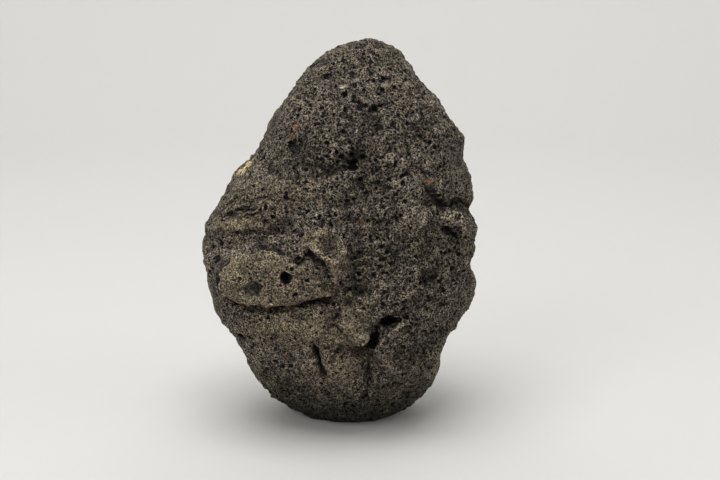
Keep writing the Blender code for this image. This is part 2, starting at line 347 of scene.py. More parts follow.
# the lip and the round knob beside it stand out like pillows
rise = np.zeros(len(p))
lip, knob = rim(torn, LIP), rim(torn, KNOB)
merges = smooth(-24, -12, true[:, 0]) * smooth(76, 80, true[:, 1])  # the lip runs into the knob here
rise += facing * 2.3 * (1 - np.exp(-np.maximum(lip, 0) / (2.6 + 7.0 * merges)))
rise += facing * 1.7 * (1 - np.exp(-np.maximum(knob, 0) / 2.4))
rise -= facing * 1.1 * np.exp(-((np.minimum(lip, 0) / 2.4) ** 2)) * (lip < 0) * smooth(74, 79, true[:, 1]) * (1 - merges)

# charcoal hollow above the lip; the shoulder's band overhangs it. Its colour is made lighter there, painted light
# against the hollow's shade.
trough = facing * np.exp(-(spot(true, -48.5, 92.6, 13.5, 3.4, 22) ** 4))
rise += 1.0 * trough
# painted light: the hollow's colour is lifted to offset its shade
trough_painted_light = 1.15 * trough
rise += facing * 0.9 * np.exp(-(spot(true, -46, 101.2, 16, 3.6, 14) ** 4))

# ropy folds on the left shoulder
on_folds = facing * smooth(1.15, 0.6, spot(true, -45, 110, 17, 10, 18))
across = true[:, 1] * math.cos(0.36) - true[:, 0] * math.sin(0.36) + 1.1 * grain(p, 9.0, 5)
fold = np.abs(np.sin(across * math.pi / 2.6)) ** 0.7
rise += on_folds * 0.75 * fold

# dimple on the lip
dimple = facing * np.exp(-(spot(torn, -37.2, 76.4, 4.1, 3.9) ** 6))
rise -= 1.7 * dimple

# low domes, ledges and hollows of the front: how far out, how much lighter, x, z, half width,
# half height, tilt. The lightness is partly the stone's own tone and partly painted light on
# raised ledges and painted shade in the hollows.
FORMS = (
    (0.9, -0.26, 7.1, 141.7, 7.6, 8.2, 0),  # dark dome over the cavities
    (0.5, -0.16, 7.8, 133.2, 7.9, 2.6, -5),
    (-0.9, -0.22, -16.4, 136.8, 8.2, 6.9, 0),
    (-0.8, -0.25, 39.4, 145.4, 5.4, 6.6, 0),
    (-0.7, -0.25, 13.8, 121.7, 7.6, 5.3, 0),
    (-0.8, -0.20, 7.8, 85.0, 3.5, 9.9, 0),  # beside the knob
    (1.6, 0.22, -31.0, 98.6, 4.6, 3.0, 10),
    (0.0, -0.12, -5.0, 84.0, 4.0, 6.0, 0),
    (-1.5, -0.35, 41.7, 80.2, 4.1, 4.3, 0),
    (-1.2, -0.35, 10.8, 76.3, 3.8, 3.0, 0),
    (-0.4, -0.20, 31.8, 68.2, 9.5, 4.9, 0),
    (-0.7, -0.30, -25.1, 24.7, 4.4, 3.6, 0),
    (-0.6, -0.15, 25.7, 92.1, 5.7, 7.6, 0),
    (-0.8, -0.20, 10.8, 175.3, 2.2, 6.6, -30),
    (0.8, 0.25, -16.3, 154.9, 9.5, 4.9, 10),
    (0.7, 0.15, 19.9, 164.2, 11.1, 2.3, 0),
    (0.5, 0.35, -1.8, 139.9, 2.2, 4.3, 0),  # pale patch
    (0.6, 0.20, 24.1, 134.7, 3.5, 2.3, 0),
    (0.6, 0.30, 40.8, 130.8, 2.2, 2.3, 0),
    (0.5, 0.10, -11.5, 121.7, 12.6, 4.9, 0),  # shoulder
    (0.0, -0.04, -22.0, 115.0, 26.0, 10.0, 0),
    (0.6, 0.16, -38.0, 122.2, 9.5, 4.9, 25),
    (0.9, 0.20, -43.7, 101.3, 13.5, 2.6, 10),  # band over the charcoal hollow
    (0.3, 0.18, -44.7, 84.7, 7.9, 6.6, 0),  # lip
    (-1.1, -0.26, -3.6, 97.2, 3.4, 4.2, 0),  # hollow in the knob's ring
    (0.8, 0.10, 52.4, 105.0, 5.0, 3.2, -20),  # ledge at the right
    (0.6, 0.04, 50.6, 99.4, 3.6, 3.6, 0),
    (1.1, 0.18, 33.9, 106.8, 6.3, 7.9, 0),
    (0.7, 0.28, 39.3, 85.3, 1.8, 2.0, 20),
    (0.6, 0.22, 35.5, 84.0, 1.8, 1.8, 0),
    (1.3, 0.14, 11.0, 53.4, 3.8, 4.2, 0),  # lump in the crescent
    (-0.9, -0.20, 22.5, 60.2, 3.4, 2.4, 0),
    (0.4, 0.30, 44.5, 28.5, 2.8, 8.2, -20),
    (0.3, 0.15, -26.8, 60.1, 9.5, 3.9, 0),
    (0.4, 0.12, -12.4, 58.8, 6.3, 6.6, 0),
    (0.6, 0.15, 1.7, 37.6, 6.3, 8.2, 0),
    (0.6, 0.15, -15.1, 40.1, 3.5, 6.6, 0),
    (0.8, -0.08, 32.4, 38.1, 9.5, 9.9, 0),
    (-0.5, -0.15, -33.6, 36.4, 3.2, 6.6, 0),
    (-1.2, -0.20, -47.4, 45.5, 2.2, 2.8, -20),
    (-1.0, -0.30, -56.2, 84.8, 3.0, 2.4, 0),
    (-0.5, -0.22, -49.8, 87.3, 2.6, 1.8, 30),
    (-0.5, -0.20, -36.0, 28.5, 3.4, 3.4, 0),
    (0.0, 0.10, -36.0, 46.0, 13.0, 15.0, 0),
    (0.0, 0.07, -18.0, 60.0, 24.0, 6.0, 0),
    (0.0, -0.07, 2.0, 44.0, 12.0, 12.0, 0),
    (0.0, -0.05, 34.0, 34.0, 14.0, 12.0, 0),
    (-0.5, -0.16, 10.8, 151.0, 8.0, 7.0, 0),
    (-0.5, -0.22, 17.4, 155.3, 3.2, 2.6, 0),
    (-0.5, -0.20, 18.2, 147.7, 2.6, 2.4, 0),
    (-0.4, -0.20, 19.2, 103.5, 5.0, 6.0, 0),
    (-0.3, -0.15, 18.0, 91.0, 6.0, 6.0, 0),
    (0.0, -0.22, 44.0, 90.0, 12.0, 14.0, 0),
    (0.0, -0.18, 36.0, 50.0, 16.0, 12.0, 0),
    (0.0, 0.10, 20.0, 168.0, 18.0, 10.0, 0),
)
# ridges and creases that run along a line: how far out, how much lighter, half width, line. The lightness paints light
# along the raised ridges and shade along the sunken creases.
STROKES = (
    (1.1, 0.42, 1.5, ((-3.2, 104.0), (-8.0, 102.4), (-10.4, 97.9), (-7.6, 92.8), (-0.3, 89.9), (2.9, 95.4), (0.7, 101.6), (-3.2, 104.0))),
    (0.7, 0.12, 2.0, ((46.3, 106.6), (50.6, 106.8), (53.4, 104.0))),
    (1.2, 0.55, 1.0, ((51.4, 107.4), (55.0, 106.0), (56.5, 103.0), (57.9, 99.6), (60.0, 95.4))),
    (-0.5, -0.26, 1.7, ((46.8, 102.8), (50.2, 99.6), (52.4, 97.4), (55.8, 94.6))),
    (0.0, -0.30, 2.4, ((39.2, 122.0), (43.2, 117.0), (48.0, 112.4), (52.9, 112.2), (57.0, 113.0))),
    (1.0, 0.50, 0.80, ((17.6, 46.0), (19.6, 50.6), (21.4, 53.2), (24.4, 56.0), (27.6, 58.4), (32.2, 60.8))),
    (0.8, 0.20, 2.6, ((20.6, 49.0), (22.5, 42.0), (25.0, 36.0))),
    (-0.6, -0.22, 1.8, ((3.4, 79.0), (4.6, 72.0), (5.6, 66.0))),
    (0.4, 0.40, 1.8, ((45.6, 44.3), (46.6, 37.0), (47.9, 29.2))),
    (-0.6, -0.34, 1.9, ((0.9, 135.0), (6.3, 135.4), (14.0, 135.2))),
    (0.7, 0.24, 1.6, ((-13.8, 52.6), (-12.6, 47.0), (-11.6, 41.0), (-9.8, 35.0))),
    (0.6, 0.20, 1.5, ((-6.8, 50.0), (-5.4, 44.0), (-3.4, 37.0))),
    (0.7, 0.26, 1.3, ((-16.6, 92.8), (-13.0, 95.8), (-9.4, 95.4), (-5.6, 91.6))),
    (0.6, 0.26, 1.4, ((-24.4, 98.2), (-19.4, 99.4), (-14.4, 99.4))),
    (0.6, 0.22, 1.4, ((22.8, 123.2), (27.4, 122.4), (31.8, 121.2))),
    (-0.8, -0.26, 1.6, ((31.0, 113.0), (27.0, 109.0), (25.0, 103.0))),
    (0.8, 0.22, 1.9, ((36.6, 111.0), (38.2, 106.0), (37.0, 101.0))),
    (0.5, 0.20, 1.5, ((-31.0, 156.0), (-24.0, 158.6), (-17.0, 157.4))),
    (-0.6, -0.22, 1.7, ((-27.0, 131.4), (-20.0, 129.2), (-12.0, 129.6), (-4.0, 131.4))),
    (0.6, 0.20, 1.8, ((8.5, 166.8), (18.0, 168.6), (29.0, 169.6))),
)
# painted shade in the creases between the clods and folds, painted light on their tops
tone_and_painted_light = 0.24 * (clod - 0.55) + 0.16 * (small_clod - 0.5) + 0.38 * on_folds * (fold - 0.6)
drawn = true + 0.55 * np.stack([layers(p, 4.0, 46 + k, 2) for k in range(2)], axis=1)
for up, much, wide, line in STROKES:
    far, _, left = along_line(drawn, line)
    along_it = facing * np.exp(-((far / wide) ** 2.2)) * (0.35 + 0.65 * smooth(0, 5, left))
    along_it *= np.clip(1.0 + 0.5 * grain(p, 3.0, 58), 0.3, 1.4)
    rise += up * along_it
    tone_and_painted_light += 1.6 * much * along_it
for up, much, x, z, rx, rz, tilt in FORMS:
    blob = facing * np.exp(-(spot(true, x, z, rx, rz, tilt) ** 2.8))
    rise += 1.5 * up * blob
    tone_and_painted_light += 1.7 * much * blob
# the lip's painted highlight along its upper-left rim and the painted shadow just outside it
upper_left = smooth(-4, 4, 0.25 * (true[:, 1] - 78) - 0.18 * (true[:, 0] + 40)) * (1 - merges)
upper_left = np.maximum(upper_left, smooth(-43, -50, true[:, 0]))
tone_and_painted_light += 0.60 * facing * np.exp(-(((lip - 0.8) / 0.8) ** 2)) * upper_left
tone_and_painted_light -= 0.46 * facing * np.exp(-(((lip + 1.3) / 1.1) ** 2)) * upper_left
tone_and_painted_light += facing * (0.20 * np.exp(-(((spot(torn, -37.2, 76.4, 4.1, 3.9) - 1.28) / 0.18) ** 2)) - 0.22 * dimple)

# weathered skin: the lip, the knob, the shoulder's band and the slope below the lip
skin_shape = np.clip(
    1.00 * smooth(-1.5, 1.5, lip)
    + 0.80 * smooth(-1.5, 1.5, knob)
    + 0.95 * np.exp(-(spot(true, -16, 58, 27, 10, 6) ** 4))
    + 0.80 * np.exp(-(spot(true, -1, 41, 15, 16, 0) ** 4))
    + 0.85 * np.exp(-(spot(true, -45, 103, 18, 6.5, 14) ** 4))
    + 0.60 * np.exp(-(spot(true, -32, 116, 26, 8, 8) ** 4))
    + 0.50 * np.exp(-(spot(true, 9, 66, 9, 12, 0) ** 4)),
    0,
    1,
)
patch = layers(p, 26.0, 71, 3)
warm = np.clip(skin_shape * facing + (1 - facing) * smooth(-0.05, 0.30, patch) * 0.9, 0, 1)
warm *= 1 - 0.9 * trough
warm = np.clip(warm + 0.30 * layers(p, 9.0, 72, 3) + 0.50 * skin_shape * layers(p, 4.4, 73, 2), 0, 1)
calm = 1 - 0.38 * warm
# the skin was dragged as it cooled: long shallow streaks
cos_a, sin_a = math.cos(math.radians(12)), math.sin(math.radians(12))
dragged = np.stack([(p[:, 0] * cos_a + p[:, 2] * sin_a) / 4.5, p[:, 1] / 2.5, p[:, 2] * cos_a - p[:, 0] * sin_a], axis=1)
streak = grain(dragged + 0.25 * layers(p, 6.0, 75, 2)[:, None], 1.7, 74) + 0.5 * grain(dragged, 0.9, 76)
rise += 0.20 * warm * streak
tone_and_painted_light += 0.34 * warm * streak
calm *= 1 - smooth(0.70, 0.92, -n[:, 0]) * 0.55 - smooth(0.70, 0.92, n[:, 0]) * 0.25

# clods with creases between, then finer and finer lumps; the two edges are smoother
rise += calm * (1.25 * (clod - 0.55) * smooth(-0.45, 0.25, grain(p, 17.0, 28)) + 0.60 * (small_clod - 0.5))
rise += calm * 1.5 * layers(p, 7.0, 20, 3, 0.75)
rise += 0.75 * layers(p, 15.0, 25, 1)
rise += (0.35 + 0.65 * calm) * (0.40 * grain(p, 2.6, 27) + 0.42 * grain(p, 4.4, 29))
rise += (1 - facing) * 1.7 * layers(p, 19.0, 26, 2)

# outline: how much the two edges stand out or in at each height
RIGHT_EDGE = ((160, 0), (151, 0.2), (147, -0.6), (143.5, 0.9), (139, 0.9), (134, 0.6), (129, -0.5), (123, 0.2), (117, 0.4), (107, 0.2), (103, -1.0), (98, 0.5), (92, 0.4), (84, -0.6), (78, -1.0), (75, -1.1), (71, 0.3), (64, 0.5), (57, 0.4), (52, -1.6), (47, -0.9), (41, 0), (34, -0.5), (26, 0.5), (18, 0.3), (8, 0))
LEFT_EDGE = ((178, 0.4), (170, -0.4), (164, 0.3), (157, -0.5), (148, 0.3), (138, -0.4), (131, 0.4), (127, -0.4), (120, 0.2), (112, -0.8), (104, -1.0), (98, -0.9), (95, 0.5), (90.5, -1.5), (86, 0.2), (82, 0.5), (78, -0.9), (70, -0.3), (62, -0.9), (56, 0.2), (48, 0.4), (42, -0.6), (35, -0.6), (27, 0.2), (14, -0.3), (5, -0.6))
for table, sign in ((RIGHT_EDGE, 1), (LEFT_EDGE, -1)):
    t = np.array(sorted(table))
    rise += np.interp(p[:, 2], t[:, 0], t[:, 1]) * smooth(0.70, 0.95, sign * n[:, 0]) * smooth(0.6, 0.25, np.abs(n[:, 1]))

low = smooth(0.0, 5.0, p[:, 2])  # the foot stays level
base.p = p + n * (rise * low)[:, None]
base.p[:, 2] = np.maximum(base.p[:, 2], 0.0)

crest = np.clip(((base.p - base.relaxed(base.p, 12)) * n).sum(axis=1) / 0.30, -1.2, 1.2)
hollow = np.clip(((base.relaxed(base.p, 60) - base.p) * n).sum(axis=1) / 1.5 - 0.5 * trough, -1, 1)

# how light or dark the stone is from place to place: its own tone, with painted light and painted shade on its forms
# and towards the foot
shade = 1.0 + tone_and_painted_light + trough_painted_light + 0.22 * layers(p, 13.0, 33, 2) + 0.80 * layers(p, 5.6, 35, 3, 0.9)
shade += 0.30 * grain(p, 2.9, 39) + 0.30 * warm * grain(p, 2.2, 38)
shade += 0.18 * crest - 0.26 * hollow  # painted highlight on crests, painted shade in creases
shade += facing * 0.08 * smooth(10, -35, true[:, 0]) - 0.10 * skin_shape * facing - 0.035
shade += 0.75 * (1 - facing) * layers(p, 15.0, 36, 3)
# painted shade: the stone darkens towards the foot, where little light reaches
shade *= 1 - 0.74 * smooth(37, 7, p[:, 2] + 5 * grain(p, 11.0, 34))
shade = np.clip(shade, 0.25, 1.9)

# ------------------------------------------------------------------ 3: gas bubbles
grid = level_set(base.p, base.q, FINE, 1.6, 3.2)
low_ijk, high_ijk = (np.array(c) for c in grid.evalActiveVoxelBoundingBox())
low_ijk, high_ijk = low_ijk - 3, high_ijk + 4
field = np.empty(tuple(high_ijk - low_ijk), np.float32)
grid.copyToArray(field, ijk=tuple(int(c) for c in low_ijk))
before = field.copy()
shape = np.array(field.shape)


def sample(values, points):
    """Values of the field between its points."""
    q = points / FINE - low_ijk
    b = np.clip(np.floor(q).astype(int), 0, shape - 2)
    f = np.clip(q - b, 0, 1)
    total = 0.0
    for dx in (0, 1):
        for dy in (0, 1):
            for dz in (0, 1):
                w = (f[:, 0] if dx else 1 - f[:, 0]) * (f[:, 1] if dy else 1 - f[:, 1]) * (f[:, 2] if dz else 1 - f[:, 2])
                total = total + w * values[b[:, 0] + dx, b[:, 1] + dy, b[:, 2] + dz]
    return total


tree = kdtree.KDTree(base.n)
for k, v in enumerate(base.p.tolist()):
    tree.insert(v, k)
tree.balance()


def openness(q):
    """How porous the crust is at a point: 1 on the open charcoal crust, less on the skin."""
    k = np.array([tree.find(v)[1] for v in q.tolist()])
    return np.clip(1.05 - 0.62 * warm[k] + 0.45 * layers(q, 9.0, 81, 2), 0.15, 1.3)


def bubbles(cell, small, large, share, depth, seed):
    """Bubbles about one to a cell, kept where they break through the surface."""
    lo, hi = base.p.min(axis=0) - 2, base.p.max(axis=0) + 2
    count = np.ceil((hi - lo) / cell).astype(int)
    found = []
    for k in range(count[2]):
        ix, iy = np.meshgrid(np.arange(count[0]), np.arange(count[1]), indexing="ij")
        ix, iy = ix.ravel(), iy.ravel()
        iz = np.full_like(ix, k)
        h = [mixed(ix, iy, iz, seed + s).astype(np.float64) / 2**32 for s in range(5)]
        c = lo + (np.stack([ix, iy, iz], axis=1) + 0.5 + 0.92 * (np.stack(h[:3], axis=1) - 0.5)) * cell
        r = small + (large - small) * h[3] ** 1.7
        at = np.round(c / FINE).astype(int) - low_ijk
        ok = ((at > 1) & (at < shape - 2)).all(axis=1)
        c, r, pick, at = c[ok], r[ok], h[4][ok], at[ok]
        d = before[at[:, 0], at[:, 1], at[:, 2]]
        ok = (d > -depth * r) & (d < 0.25 * r)
        c, r, pick = c[ok], r[ok], pick[ok]
        if len(c):
            ok = pick < share * openness(c)
            found.append(np.column_stack([c[ok], r[ok]]))
    return np.concatenate(found)


def cut(found, seed):
    """Take each bubble, a slightly squashed ball, out of the field."""
    flat_field = field.reshape(-1)
    reach = int(math.ceil(found[:, 3].max() * 1.3 / FINE)) + 1
    k = np.arange(-reach, reach + 1)
    off = np.stack(np.meshgrid(k, k, k, indexing="ij"), axis=-1).reshape(-1, 3)
    off = off[(off**2).sum(axis=1) <= (reach + 0.5) ** 2]
    squash = np.stack(
        [0.80 + 0.42 * mixed(np.arange(len(found)), np.full(len(found), s), np.full(len(found), 3), seed).astype(float) / 2**32 for s in range(3)],
        axis=1,
    )
    for s in range(0, len(found), max(1, 3_000_000 // len(off))):
        part = found[s : s + max(1, 3_000_000 // len(off))]
        near = np.round(part[:, :3] / FINE).astype(int)
        ijk = near[:, None, :] + off[None]
        away = (ijk * FINE - part[:, None, :3]) * squash[s : s + len(part), None, :]
        value = part[:, 3:4] - np.sqrt((away**2).sum(axis=2))
        ijk -= low_ijk
        ok = (value > -1.2 * FINE) & ((ijk > 0) & (ijk < shape - 1)).all(axis=2)
        where = ijk[ok]
        index = (where[:, 0] * shape[1] + where[:, 1]) * shape[2] + where[:, 2]
        np.maximum.at(flat_field, index, value[ok].astype(np.float32))


# a fine rough crust between the bubbles, and the front's cracks
near = np.argwhere(np.abs(field) < 0.9)
at = (near + low_ijk) * FINE
field[near[:, 0], near[:, 1], near[:, 2]] += (
    0.10 * grain(at, 0.9, 90) + 0.18 * grain(at, 1.9, 91)
).astype(np.float32) * smooth(0.3, 2.5, at[:, 2])
for one, y0, y1 in [(c, -70.0, 0.0) for c in CRACKS] + [(c, 0.0, 70.0) for c in BACK_CRACKS]:
    pts = np.array(one[2])
    a = np.array([pts[:, 0].min() - 4, y0, pts[:, 1].min() - 4]) + CAD_SHIFT
    b = np.array([pts[:, 0].max() + 4, y1, pts[:, 1].max() + 4]) + CAD_SHIFT
    a = np.maximum(np.floor(a / FINE).astype(int) - low_ijk, 0)
    b = np.minimum(np.ceil(b / FINE).astype(int) - low_ijk, shape)
    box = field[a[0] : b[0], a[1] : b[1], a[2] : b[2]]
    near = np.argwhere(np.abs(box) < 3.0)
    box[near[:, 0], near[:, 1], near[:, 2]] += drawn_cracks((near + a + low_ijk) * FINE, (one,))[0].astype(np.float32)
before = field.copy()

families = (
    (11.0, 1.60, 2.60, 0.70, 0.45, 400),  # back and sides only
    (7.0, 0.95, 1.50, 0.26, 0.50, 500),
    (2.7, 0.66, 1.15, 0.72, 0.70, 600),
    (1.75, 0.44, 0.74, 0.95, 0.75, 700),
    (1.30, 0.36, 0.52, 0.95, 0.75, 800),
)
for cell, small, large, share, depth, seed in families:
    if small * 2 < FINE:
        continue
    found = bubbles(cell, small, large, share, depth, seed)
    found = found[found[:, 2] > 0.8]
    if cell > 9:
        found = found[(found[:, 1] > 6) | (np.abs(found[:, 0]) > 56)]
    cut(found, seed)
    print("bubbles", cell, len(found))


PITS = []


def pit(x, z, rx, ry, rz, tilt=0.0, wobble=0.25):
    """A deeper hole going in from the front, with an uneven rim."""
    t = p_front(x, z)
    PITS.append((t, rx, rz, tilt))
    half = np.array([rx + 1, ry + 1, rz + 1])
    a = np.maximum(np.floor((t - half) / FINE).astype(int) - low_ijk, 1)
    b = np.minimum(np.ceil((t + half) / FINE).astype(int) - low_ijk, shape - 1)
    k = np.stack(np.meshgrid(*(np.arange(a[i], b[i]) for i in range(3)), indexing="ij"), axis=-1).reshape(-1, 3)
    q = (k + low_ijk) * FINE
    d = q - t
    c, s = math.cos(math.radians(tilt)), math.sin(math.radians(tilt))
    u, v = c * d[:, 0] + s * d[:, 2], -s * d[:, 0] + c * d[:, 2]
    r = np.sqrt((u / rx) ** 2 + (d[:, 1] / ry) ** 2 + (v / rz) ** 2)
    value = (1 + wobble * grain(q, 2.2, 95) - r) * min(rx, rz)
    old = field[k[:, 0], k[:, 1], k[:, 2]]
    field[k[:, 0], k[:, 1], k[:, 2]] = np.maximum(old, value.astype(np.float32))


def p_front(x, z):
    """The front surface's point at a drawn place."""
    place = np.array([x, 0.0, z]) + CAD_SHIFT
    off = np.hypot(base.p[:, 0] - place[0], base.p[:, 2] - place[2])
    near = (off > 3.2) & (off < 5.2) & (base.p[:, 1] < 0)
    return np.array([place[0], np.percentile(base.p[near, 1], 35), place[2]])


pit(-22.7, 82.8, 2.45, 7.0, 2.9, 0, 0.42)
pit(6.8, 129.6, 2.5, 4.2, 1.25, 4, 0.35)
pit(11.4, 134.9, 1.5, 2.6, 1.2)
pit(1.7, 134.8, 1.4, 2.6, 1.2)
pit(-10.5, 169.3, 1.1, 1.8, 1.2)
pit(10.4, 157.0, 1.0, 1.8, 1.1)
pit(6.4, 170.0, 1.1, 1.8, 1.0)
pit(22.9, 59.6, 1.6, 3.8, 1.5, 8, 0.5)
pit(27.9, 61.6, 1.2, 2.2, 0.8, 10)
pit(16.9, 53.0, 0.8, 2.4, 1.4, -15, 0.5)
pit(-45.4, 47.8, 2.3, 7.0, 2.8, -30)
pit(52.0, 82.8, 1.4, 2.2, 1.3)
pit(43.6, 79.6, 1.3, 2.0, 1.1)
pit(46.0, 77.4, 1.0, 2.0, 1.0)
pit(-56.2, 85.1, 1.5, 2.0, 1.1, 10)
pit(-40.0, 86.4, 0.8, 1.3, 0.8)
pit(3.3, 161.4, 1.3, 1.8, 1.1)
pit(10.0, 155.6, 1.5, 1.8, 1.2)
pit(15.3, 155.0, 1.3, 1.8, 1.1)
pit(19.0, 147.2, 1.3, 1.8, 1.1)
pit(19.0, 86.4, 1.2, 1.6, 1.0)
pit(6.5, 135.8, 1.4, 2.4, 1.1)
pit(-0.3, 136.6, 1.0, 1.6, 0.9)
pit(30.1, 115.4, 1.2, 1.6, 0.9)
pit(22.7, 121.4, 1.1, 1.6, 0.9)
pit(13.0, 119.2, 1.2, 1.6, 1.0)
pit(31.7, 95.0, 1.0, 1.5, 0.9)
pit(19.7, 95.4, 1.0, 1.5, 0.9)
pit(-19.2, 140.8, 1.0, 1.4, 0.8)
pit(-7.1, 133.5, 1.1, 1.4, 0.8)

carved = vdb.FloatGrid(float(grid.background))
carved.transform = vdb.createLinearTransform(voxelSize=FINE)
carved.copyFromArray(field, ijk=tuple(int(c) for c in low_ijk))
stone = Surface(*carved.convertToQuads(isovalue=0.0))

# keep the one stone: a bubble shut inside it, or a crumb cut loose, goes
label = np.arange(stone.n)
while True:
    new = label.copy()
    np.minimum.at(new, stone.i, label[stone.j])
    new = new[new]
    if (new == label).all():
        break
    label = new
keep = label == np.bincount(label).argmax()
number = np.cumsum(keep) - 1
stone = Surface(stone.p[keep], number[stone.q[keep[stone.q[:, 0]]]])
stone.p = stone.relaxed(stone.p, 1, 0.35)
stone.p[:, 2] = np.maximum(stone.p[:, 2], 0.0)
print("stone", stone.n, "points", len(stone.q), "squares")

# ------------------------------------------------------------------ 4: what each spot is
depth = -sample(before, stone.p)  # mm below the crust, for the painted shade in bubbles and pits
nearest = np.array([tree.find(v)[1] for v in stone.p.tolist()])
# pits count deeper, so their painted shade is darker
for t, rx, rz, tilt in PITS:
    in_hole = smooth(1.15, 0.90, spot(stone.p[:, [0, 2]], t[0], t[2], rx, rz, tilt)) * (stone.p[:, 1] < 0)
    depth = np.maximum(depth, 1.2 * in_hole * (stone.p[:, 1] - t[1] - 0.35))
depth = np.clip(depth, 0.0, 3.0)
pore_shade_depth = stone.relaxed(depth, 1)
blend_to = lambda v, times=3: stone.relaxed(v[nearest].astype(float), times)
warm_at, hollow_at = blend_to(warm), blend_to(hollow)
facing_at, dimple_at, shade_at = blend_to(facing), blend_to(dimple), blend_to(shade)
at_back = smooth(0, 12, stone.p[:, 1])
furrow_at = np.maximum(facing_at * drawn_cracks(stone.p, CRACKS)[1], at_back * drawn_cracks(stone.p, BACK_CRACKS)[1])
normal_now = stone.normals()
deep_small = np.clip(((stone.relaxed(stone.p, 5) - stone.p) * normal_now).sum(axis=1) / 0.25, -1, 1)

sp = stone.p
ts = (sp - CAD_SHIFT + 0.9 * np.stack([grain(sp, 2.0, 60 + k) for k in range(3)], axis=1))[:, [0, 2]]
rust = np.zeros(stone.n)
for x, z, rx, rz, tilt, much in (
    (41.2, 122.9, 2.8, 0.75, 0, 1.0),
    (10.5, 106.4, 1.2, 0.6, 25, 0.8),
    (-19.0, 146.9, 1.1, 0.8, 0, 0.85),
    (-18.8, 145.0, 1.3, 0.5, 0, 0.8),
    (-21.5, 142.8, 1.3, 0.6, 10, 0.6),
    (31.0, 66.0, 0.9, 0.5, 0, 0.5),
    (-43.0, 65.0, 3.4, 0.40, 0, 0.55),
    (-33.0, 65.9, 4.0, 0.45, 3, 0.55),
    (-20.0, 67.4, 2.2, 0.35, 8, 0.4),
    (-24.0, 43.5, 2.2, 1.6, 0, 0.35),
    (34.0, 20.0, 1.4, 0.9, 0, 0.4),
):
    rust = np.maximum(rust, much * smooth(1.3, 0.5, spot(ts, x, z, rx, rz, tilt)) * facing_at)
rust = np.maximum(rust, 0.5 * smooth(0.84, 0.98, grain(sp, 3.1, 65)) * smooth(0.1, 0.5, grain(sp, 1.3, 64)))
tan = smooth(1.15, 0.7, np.linalg.norm((sp - CAD_SHIFT - np.array([-45.0, -8.0, 125.4])) / np.array([5.5, 7.0, 6.0]), axis=1) + 0.3 * grain(sp, 3.0, 66))
tan *= smooth(0.0, 0.5, -n[nearest][:, 0])
ochre = 0.75 * facing_at * np.exp(-(spot(ts, -48, 101.4, 12, 2.7, 14) ** 4)) * smooth(-0.15, 0.50, grain(sp, 2.2, 67) + 0.5 * grain(sp, 1.1, 69))
ochre = np.maximum(ochre, 0.30 * facing_at * warm_at * smooth(0.15, 0.7, layers(sp, 5.0, 68, 2)))
white = np.zeros(stone.n)
for x, z, rx, rz, much in (
    (2.7, 164.8, 1.9, 0.55, 1.0),
    (10.9, 150.4, 0.75, 0.75, 1.0),
    (8.6, 146.2, 0.60, 0.60, 1.0),
    (36.4, 150.9, 0.50, 0.90, 0.7),
    (24.3, 141.1, 1.6, 0.45, 0.6),
    (-29.7, 70.5, 0.60, 0.60, 0.9),
    (31.5, 77.0, 0.5, 0.5, 0.6),
):
    white = np.maximum(white, much * smooth(1.35, 0.6, spot(ts, x, z, rx, rz)) * facing_at)

# ------------------------------------------------------------------ 5: the piece
rock_mesh = bpy.data.meshes.new("lava_rock_crust")
rock_mesh.vertices.add(stone.n)
rock_mesh.vertices.foreach_set("co", (stone.p * MM).astype(np.float32).ravel())
rock_mesh.loops.add(len(stone.q) * 4)
rock_mesh.loops.foreach_set("vertex_index", stone.q.astype(np.int32).ravel())
rock_mesh.polygons.add(len(stone.q))
rock_mesh.polygons.foreach_set("loop_start", np.arange(0, len(stone.q) * 4, 4, dtype=np.int32))
rock_mesh.polygons.foreach_set("use_smooth", np.ones(len(stone.q), bool))
rock_mesh.update(calc_edges=True)

for name, values in (
    ("pore", np.clip(pore_shade_depth / 0.9, 0, 1)),
    ("warm", warm_at),
    ("furrow", furrow_at),
    ("hollow", hollow_at * 0.5 + 0.5),
    ("edge", deep_small * 0.5 + 0.5),
    ("rust", rust),
    ("tan", tan),
    ("ochre", ochre),
    ("white", white),
    ("dimple", dimple_at),
    ("shade", shade_at * 0.5),
):
    rock_mesh.attributes.new(name, "FLOAT", "POINT").data.foreach_set("value", values.astype(np.float32))

# the map: six faces of a cube seen from the stone's middle, side by side
scale = np.array([66.0, 57.0, 92.0])
look = (stone.p - np.array([0.0, 0.0, 92.0])) / scale
face_look = look[stone.q].mean(axis=1)
axis = np.abs(face_look).argmax(axis=1)
sign = np.take_along_axis(face_look, axis[:, None], 1)[:, 0] > 0
corner = look[stone.q]
uv = np.empty((len(stone.q), 4, 2))
for a in range(3):
    for s in (False, True):
        pick = (axis == a) & (sign == s)
        c = corner[pick]
        main = np.maximum(np.abs(c[:, :, a]), 1e-6)
        others = [k for k in range(3) if k != a]
        u = np.arctan(c[:, :, others[0]] / main) / (math.pi / 4)
        v = np.arctan(c[:, :, others[1]] / main) / (math.pi / 4)
        if s != (a == 1):
            u = -u if a == 1 else u
        col, row = a, int(s)
        uv[pick, :, 0] = (col + 0.5 + 0.468 * np.clip(u, -1.04, 1.04)) / 3
        uv[pick, :, 1] = (row + 0.5 + 0.478 * np.clip(v, -1.04, 1.04)) / 2
layer = rock_mesh.uv_layers.new(name="OFBake")
layer.data.foreach_set("uv", uv.astype(np.float32).ravel())

rock = bpy.data.objects.new("lava_rock_crust", rock_mesh)
bpy.context.scene.collection.objects.link(rock)

# ------------------------------------------------------------------ 6: the stone's finish
mat = bpy.data.materials.new("porous_basalt_look")
mat.use_nodes = True
tree_ = mat.node_tree
nodes, links = tree_.nodes, tree_.links
nodes.clear()


def add(kind, **settings):
    made = nodes.new(kind)
    for key, value in settings.items():
        setattr(made, key, value)
    return made


def put(made, socket, value):
    if hasattr(value, "is_linked"):
        links.new(value, made.inputs[socket])
    else:
        made.inputs[socket].default_value = value
    return made


